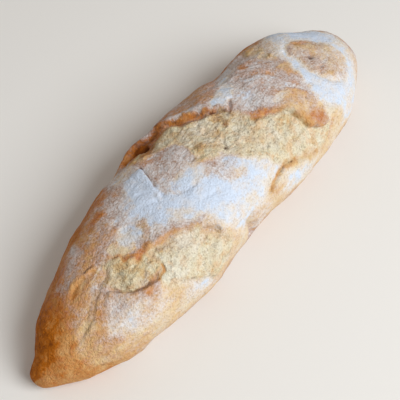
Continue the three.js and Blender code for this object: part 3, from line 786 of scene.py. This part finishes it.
def crust_surface():
    """Rings of points over the crust, with the four layers."""
    place = even_places(RINGS)[:, None]
    even = np.linspace(-1, 1, CRUST_STEPS + 1)[None, :]
    angle = sole_angle(place) * mix(even, even ** 3, CROWN_CLOSENESS)
    place = np.broadcast_to(place, angle.shape)
    plain = plain_points(place, angle)
    along, around, out = plain_directions(place, angle)
    x, g = plain[..., 0], GIRTH_RADIUS * angle
    layers = paint_layers(plain, x, g)

    wx, wg = layered_noise(plain, RAGGED_X, start=x), layered_noise(plain, RAGGED_G, start=g)
    height = large_relief(plain, x, g) + crack_relief(x, g) + WRINKLE_HEIGHT * wrinkles(wx, wg)
    slide_x, slide_g = 0, 0
    for lip in LIPS:
        rise, sx, sg = lip_form(lip, wx, wg)
        height = height + rise
        slide_x = slide_x + sx
        slide_g = slide_g + sg
    half = section_at(place)[2]
    fade = ease(0, END_FADE, half) * ease(0, SOLE_FADE, plain[..., 2])
    torn = layered_noise(plain, CRUMB_LUMPS) + CURL_HEIGHT * curls(plain)
    fine = mix(layered_noise(plain, SKIN_LUMPS), torn, layers["crumb"])
    fine_fade = ease(0, END_FADE / 2, half) * ease(0, SOLE_FADE / 2, plain[..., 2])
    raised = (height * fade + fine * fine_fade)[..., None] * out
    slid = (slide_x * fade)[..., None] * along + (slide_g * fade)[..., None] * around
    points = plain + raised + slid
    points[..., 2] = np.maximum(0, points[..., 2])
    return place[:, 0], points, layers


def sole_points(place, points):
    """The points of each ring that lie across the sole, from its +Y edge to its -Y edge."""
    share = (np.arange(1, SOLE_STEPS) / SOLE_STEPS)[None, :, None]
    across = mix(points[:, -1:, :], points[:, :1, :], share)
    _, middle, half, waist, _, down = (column[:, None] for column in section_at(place))
    offset = (across[..., 1] - middle) / np.maximum(half, 1e-6)
    under = waist - down * np.sqrt(np.maximum(0, 1 - offset ** 2))
    across[..., 2] = np.maximum(0, np.minimum(across[..., 2], under))
    return across


def ring_faces(rings, around):
    """Four-sided faces between rings, and three-sided ones from the end rings to the tips."""
    ring, step = np.meshgrid(np.arange(rings - 1), np.arange(around), indexing="ij")
    here = ring * around + step
    beside = ring * around + (step + 1) % around
    quads = np.stack([here, here + around, beside + around, beside], axis=-1).reshape(-1, 4)
    first, last = rings * around, rings * around + 1
    k = np.arange(around)
    follow = (k + 1) % around
    base = (rings - 1) * around
    near_tip = np.stack([np.full(around, first), k, follow], axis=-1)
    far_tip = np.stack([np.full(around, last), base + follow, base + k], axis=-1)
    return quads.tolist() + near_tip.tolist() + far_tip.tolist()


def add_object(name, data):
    """A new object in the scene, made of this data."""
    thing = bpy.data.objects.new(name, data)
    bpy.context.scene.collection.objects.link(thing)
    return thing


SOLE_LOOK = dict(flour=0.34, bake=0.56, crumb=0.0, shade_and_scorch=0.0)


def make_loaf():
    """The crust and its sole as one closed mesh, centred on the CAD loaf, with its layers."""
    place, crust, layers = crust_surface()
    sole = sole_points(place, crust)
    rings, around = len(place), crust.shape[1] + sole.shape[1]
    body = np.concatenate([crust, sole], axis=1).reshape(-1, 3)
    x, middle, _, waist = section_at(np.array([0.0, 1.0]))[:4]
    tips = np.stack([x, middle, waist], axis=-1)
    points = np.concatenate([body, tips]) * MM
    centre = (points.min(axis=0) + points.max(axis=0)) / 2
    points[:, :2] += ((loaf_low + loaf_high) / 2 - centre)[:2]

    mesh = bpy.data.meshes.new("crusty_loaf")
    mesh.from_pydata(points.tolist(), [], ring_faces(rings, around))
    mesh.polygons.foreach_set("use_smooth", [True] * len(mesh.polygons))
    for name, top in layers.items():
        under = np.full(sole.shape[:2], SOLE_LOOK[name])
        values = np.concatenate([top, under], axis=1)
        at_tips = [values[0].mean(), values[-1].mean()]
        attribute = mesh.attributes.new(name, "FLOAT", "POINT")
        attribute.data.foreach_set("value", np.concatenate([values.ravel(), at_tips]))
    mesh.update()
    return add_object("crusty_loaf", mesh)


# ---- materials

def linear(red, green, blue):
    """A colour of 0 to 255, as shown on a screen, in Blender's linear light."""
    shown = np.array([red, green, blue]) / 255
    light = np.where(shown <= 0.04045, shown / 12.92, ((shown + 0.055) / 1.055) ** 2.4)
    return (*light.tolist(), 1.0)


def set_inputs(tree, node, inputs):
    """Links a node's inputs to other nodes, or sets them to constants."""
    for key, value in inputs.items():
        value = value.socket if isinstance(value, Value) else value
        if isinstance(value, bpy.types.NodeSocket):
            tree.links.new(value, node.inputs[key])
        else:
            node.inputs[key].default_value = value


def add_node(tree, kind, inputs, output=0, **settings):
    """Adds a node, sets or links its inputs and returns one of its outputs."""
    node = tree.nodes.new(kind)
    for name, value in settings.items():
        setattr(node, name, value)
    set_inputs(tree, node, inputs)
    return node.outputs[output]


def add_value(tree, kind, inputs, **settings):
    return Value(tree, add_node(tree, kind, inputs, **settings))


def node_sum(operation, swapped=False):
    """A method of Value that works out one sum with a node."""
    def method(self, other):
        first, second = (other, self) if swapped else (self, other)
        return add_value(self.tree, "ShaderNodeMath", {0: first, 1: second},
                         operation=operation)
    return method


class Value:
    """A number that varies over the crust, worked out by nodes but written in plain sums."""

    def __init__(self, tree, socket):
        self.tree = tree
        self.socket = socket

    __add__, __mul__ = node_sum("ADD"), node_sum("MULTIPLY")
    __sub__, __rsub__ = node_sum("SUBTRACT"), node_sum("SUBTRACT", swapped=True)
    at_least, at_most = node_sum("MAXIMUM"), node_sum("MINIMUM")

    def eased(self, low, high):
        """0 at low, 1 at high and a smooth step between them."""
        inputs = {"Value": self, "From Min": low, "From Max": high}
        return add_value(self.tree, "ShaderNodeMapRange", inputs,
                         interpolation_type="SMOOTHSTEP")


def blend(tree, share, first, second):
    """The first colour where share is 0 and the second where it is 1."""
    first, second = (linear(*colour) if isinstance(colour, tuple) else colour
                     for colour in (first, second))
    return add_node(tree, "ShaderNodeMix", {0: share, 6: first, 7: second}, output=2,
                    data_type="RGBA")


def ramp(tree, value, stops):
    """A colour for each value, from stops that give a value and a colour."""
    node = tree.nodes.new("ShaderNodeValToRGB")
    elements = node.color_ramp.elements
    while len(elements) < len(stops):
        elements.new(0.5)
    for element, (place, colour) in zip(elements, stops):
        element.position = place
        element.color = linear(*colour)
    set_inputs(tree, node, {"Fac": value})
    return node.outputs["Color"]


def new_material(name):
    """A material, its node tree and its shader."""
    material = bpy.data.materials.new(name)
    material.use_nodes = True
    return material, material.node_tree, material.node_tree.nodes["Principled BSDF"]


# Colours from the palest to the brownest, each at its amount of browning.
CRUST_COLOURS = [(0, (237, 224, 190)), (0.3, (231, 194, 138)), (0.55, (211, 151, 86)),
                 (0.78, (194, 108, 14)), (1, (126, 62, 6))]
CRUMB_COLOURS = [(0, (246, 238, 216)), (0.3, (236, 220, 180)), (0.6, (216, 180, 124)),
                 (1, (156, 98, 48))]
CRUMB_TINTS = [((225, 220, 194), 0.54, 0.66), ((226, 168, 98), 0.50, 0.38)]
TINT_SHARE = 0.5
VEILED_COLOUR = (171, 134, 117)  # brown skin under a veil of flour
THIN_FLOUR_COLOUR = (230, 227, 226)
# Thick flour is painted with the blue of a cool window light: painted light on white flour.
THICK_FLOUR_COOL_LIGHT_COLOUR = (214, 228, 247)
CRUMB_DUST_COLOUR = (240, 229, 203)
DOT_COLOUR = (128, 88, 52)
# Painted shade in the cracks, with some burnt brown, and the dark of pinholes and specks.
SHADE_AND_SCORCH_COLOUR = (88, 42, 12)

# The material's noises: size in millimetres, detail and roughness, all about their middle.
MOTTLE, SPECK, GRAIN, TINT = (2.4, 4, 0.6), (1.3, 3, 0.7), (1.0, 2, 0.7), (5, 2, 0.55)
MIDDLE = 0.5

# How strongly they and the layers work.
MOTTLED_BAKE, SPECKLED_SKIN, SPECKLED_CRUMB = 0.4, 0.4, 0.6
FULL_COVER, PATCHINESS = 1.02, 4.0  # flour breaks up between bare and fully covered
FLECKS, FLECKED_BARE = -1.2, 0.35  # bare flecks, more of them the browner the skin
MOST_DUST, DUST_SLOPE, DUST_START = 0.96, 1.3, -0.5
VEIL, VEIL_FLOUR, VEIL_BAKE = 0.8, (0.1, 0.55), (0.35, 0.6)
THICK_FLOUR, THICK_TINT, THIN_ON_CRUMB = (0.7, 1.02), 0.6, 0.4
CREAMY_CRUMB = 0.7
DOTS, DOTS_ON_PATCHY, DOTS_ON_CRUMB, DOT_GRAIN = 0.16, 0.2, 0.07, (0.46, 0.76)
DARKEST, DARK_SPECKS, DARK_RANGE = 0.9, 0.3, (0.1, 0.9)
GRAIN_RELIEF, SPECK_RELIEF, MOTTLE_RELIEF = 0.6, 0.4, 0.3
BARE_RELIEF, SMOOTHED_BY_FLOUR = 1.1, -0.4
RELIEF_HEIGHT = 1.5 * MM
CRUST_ROUGHNESS, CRUST_SHEEN = 0.8, 0.15


def crust_material():
    """Baked skin, torn crumb, flour dust and painted shade in the cracks, from the painted layers."""
    material, tree, shader = new_material("bread_crust")
    place = add_node(tree, "ShaderNodeTexCoord", {}, output="Object")
    flour, bake, crumb, shade_and_scorch = (
        add_value(tree, "ShaderNodeAttribute", {}, output="Fac", attribute_name=name)
        for name in ("flour", "bake", "crumb", "shade_and_scorch"))
    mottle, speck, grain, tint = (
        add_value(tree, "ShaderNodeTexNoise", {"Vector": place, "Scale": 1 / (size * MM),
                                               "Detail": detail, "Roughness": rough})
        for size, detail, rough in (MOTTLE, SPECK, GRAIN, TINT))
    mottled, speckled = mottle - MIDDLE, speck - MIDDLE

    browned = bake + mottled * MOTTLED_BAKE
    browned = browned + speckled * (crumb * SPECKLED_CRUMB + SPECKLED_SKIN)
    crumb_colour = ramp(tree, browned, CRUMB_COLOURS)
    for colour, low, high in CRUMB_TINTS:
        crumb_colour = blend(tree, tint.eased(low, high) * TINT_SHARE, crumb_colour, colour)
    colour = blend(tree, crumb, ramp(tree, browned, CRUST_COLOURS), crumb_colour)

    veiled = flour.eased(*VEIL_FLOUR) * VEIL * (1.0 - crumb) * bake.eased(*VEIL_BAKE)
    colour = blend(tree, veiled, colour, VEILED_COLOUR)

    patchy = flour * (FULL_COVER - flour) * PATCHINESS
    dust = flour + speckled * patchy + mottled * patchy
    dust = dust + (grain - MIDDLE) * (patchy * (bake + FLECKED_BARE) * FLECKS)
    least = (flour * DUST_SLOPE + DUST_START).at_least(0.0)
    # The thicker the flour, the more it takes the blue of painted cool light.
    thick = flour - crumb * THIN_ON_CRUMB + (tint - MIDDLE) * THICK_TINT
    flour_colour = blend(tree, thick.eased(*THICK_FLOUR), THIN_FLOUR_COLOUR, THICK_FLOUR_COOL_LIGHT_COLOUR)
    flour_colour = blend(tree, crumb * CREAMY_CRUMB, flour_colour, CRUMB_DUST_COLOUR)
    colour = blend(tree, dust.at_least(least).at_most(MOST_DUST), colour, flour_colour)

    strength = crumb * DOTS_ON_CRUMB + (patchy * DOTS_ON_PATCHY + DOTS)
    colour = blend(tree, grain.eased(*DOT_GRAIN) * strength, colour, DOT_COLOUR)
    # Darker in the cracks as painted shade with some burnt brown, and at pinholes and specks.
    dark = (shade_and_scorch + speckled * DARK_SPECKS).eased(*DARK_RANGE)
    colour = blend(tree, dark * DARKEST, colour, SHADE_AND_SCORCH_COLOUR)

    relief = grain * GRAIN_RELIEF + mottle * (crumb + MOTTLE_RELIEF) + speck * SPECK_RELIEF
    relief = relief * (flour * SMOOTHED_BY_FLOUR + BARE_RELIEF)
    normal = add_node(tree, "ShaderNodeBump",
                      {"Height": relief, "Distance": RELIEF_HEIGHT, "Strength": 1.0})

    set_inputs(tree, shader, {"Base Color": colour, "Normal": normal,
                              "Roughness": CRUST_ROUGHNESS, "Specular IOR Level": CRUST_SHEEN})
    return material


# ---- stage, lights and camera

# The view: seen from over the near flank, looking from the pointed end towards the far end.
VIEW_TURN = 52.7  # degrees from +Y towards +X of the way the camera looks
VIEW_HEIGHT = 55.0  # degrees above the floor
VIEW_DISTANCE = 0.4075  # metres
VIEW_TARGET = Vector((-0.016, -0.00727, 0.025))
FIELD_OF_VIEW = 27.0  # degrees
LIGHT_TARGET = Vector((0, 0, 0.02))
FLOOR_REACH = 4.0  # metres
FLOOR_COLOUR, FLOOR_ROUGHNESS = (240, 237, 232), 0.7
WORLD_COLOUR, WORLD_STRENGTH = (1.0, 0.94, 0.87, 1), 0.3

turn = np.radians(VIEW_TURN)
AWAY = Vector((np.sin(turn), np.cos(turn), 0))
RIGHT = Vector((np.cos(turn), -np.sin(turn), 0))
UP = Vector((0, 0, 1))


def aim(thing, place, target):
    """Puts a camera or a light in its place and turns it towards the target."""
    thing.location = place
    thing.rotation_euler = (target - place).to_track_quat("-Z", "Y").to_euler()


def make_camera():
    data = bpy.data.cameras.new("camera")
    data.angle = np.radians(FIELD_OF_VIEW)
    data.clip_start = 0.01
    camera = add_object("camera", data)
    height = np.radians(VIEW_HEIGHT)
    forward = AWAY * np.cos(height) - UP * np.sin(height)
    aim(camera, VIEW_TARGET - forward * VIEW_DISTANCE, VIEW_TARGET)
    bpy.context.scene.camera = camera


def make_light(name, offset, size, power, colour):
    """A square soft light, at an offset from the loaf along RIGHT, AWAY and UP."""
    data = bpy.data.lights.new(name, "AREA")
    data.shape = "SQUARE"
    data.size = size
    data.energy = power
    data.color = colour
    place = RIGHT * offset[0] + AWAY * offset[1] + UP * offset[2]
    aim(add_object(name, data), place, LIGHT_TARGET)


def make_stage():
    """The pale floor under the loaf and the dim room round it."""
    mesh = bpy.data.meshes.new("floor")
    square = [(-1, -1, 0), (1, -1, 0), (1, 1, 0), (-1, 1, 0)]
    corners = [tuple(FLOOR_REACH * part for part in corner) for corner in square]
    mesh.from_pydata(corners, [], [(0, 1, 2, 3)])
    material, tree, shader = new_material("pale_floor")
    set_inputs(tree, shader, {"Base Color": linear(*FLOOR_COLOUR), "Roughness": FLOOR_ROUGHNESS})
    mesh.materials.append(material)
    floor = add_object("floor", mesh)

    world = bpy.data.worlds.new("studio")
    world.use_nodes = True
    set_inputs(world.node_tree, world.node_tree.nodes["Background"],
               {"Color": WORLD_COLOUR, "Strength": WORLD_STRENGTH})
    bpy.context.scene.world = world
    bpy.context.scene.view_settings.view_transform = "Standard"


make_camera()
make_stage()
make_light("key", (0.89, -0.50, 0.95), size=0.9, power=18.6, colour=(0.94, 0.97, 1.0))
make_light("fill", (-0.8, 0.6, 1.1), size=1.0, power=1.0, colour=(0.92, 0.96, 1.0))

loaf = make_loaf()
loaf.data.materials.append(crust_material())
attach(loaf, "root")
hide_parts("loaf")
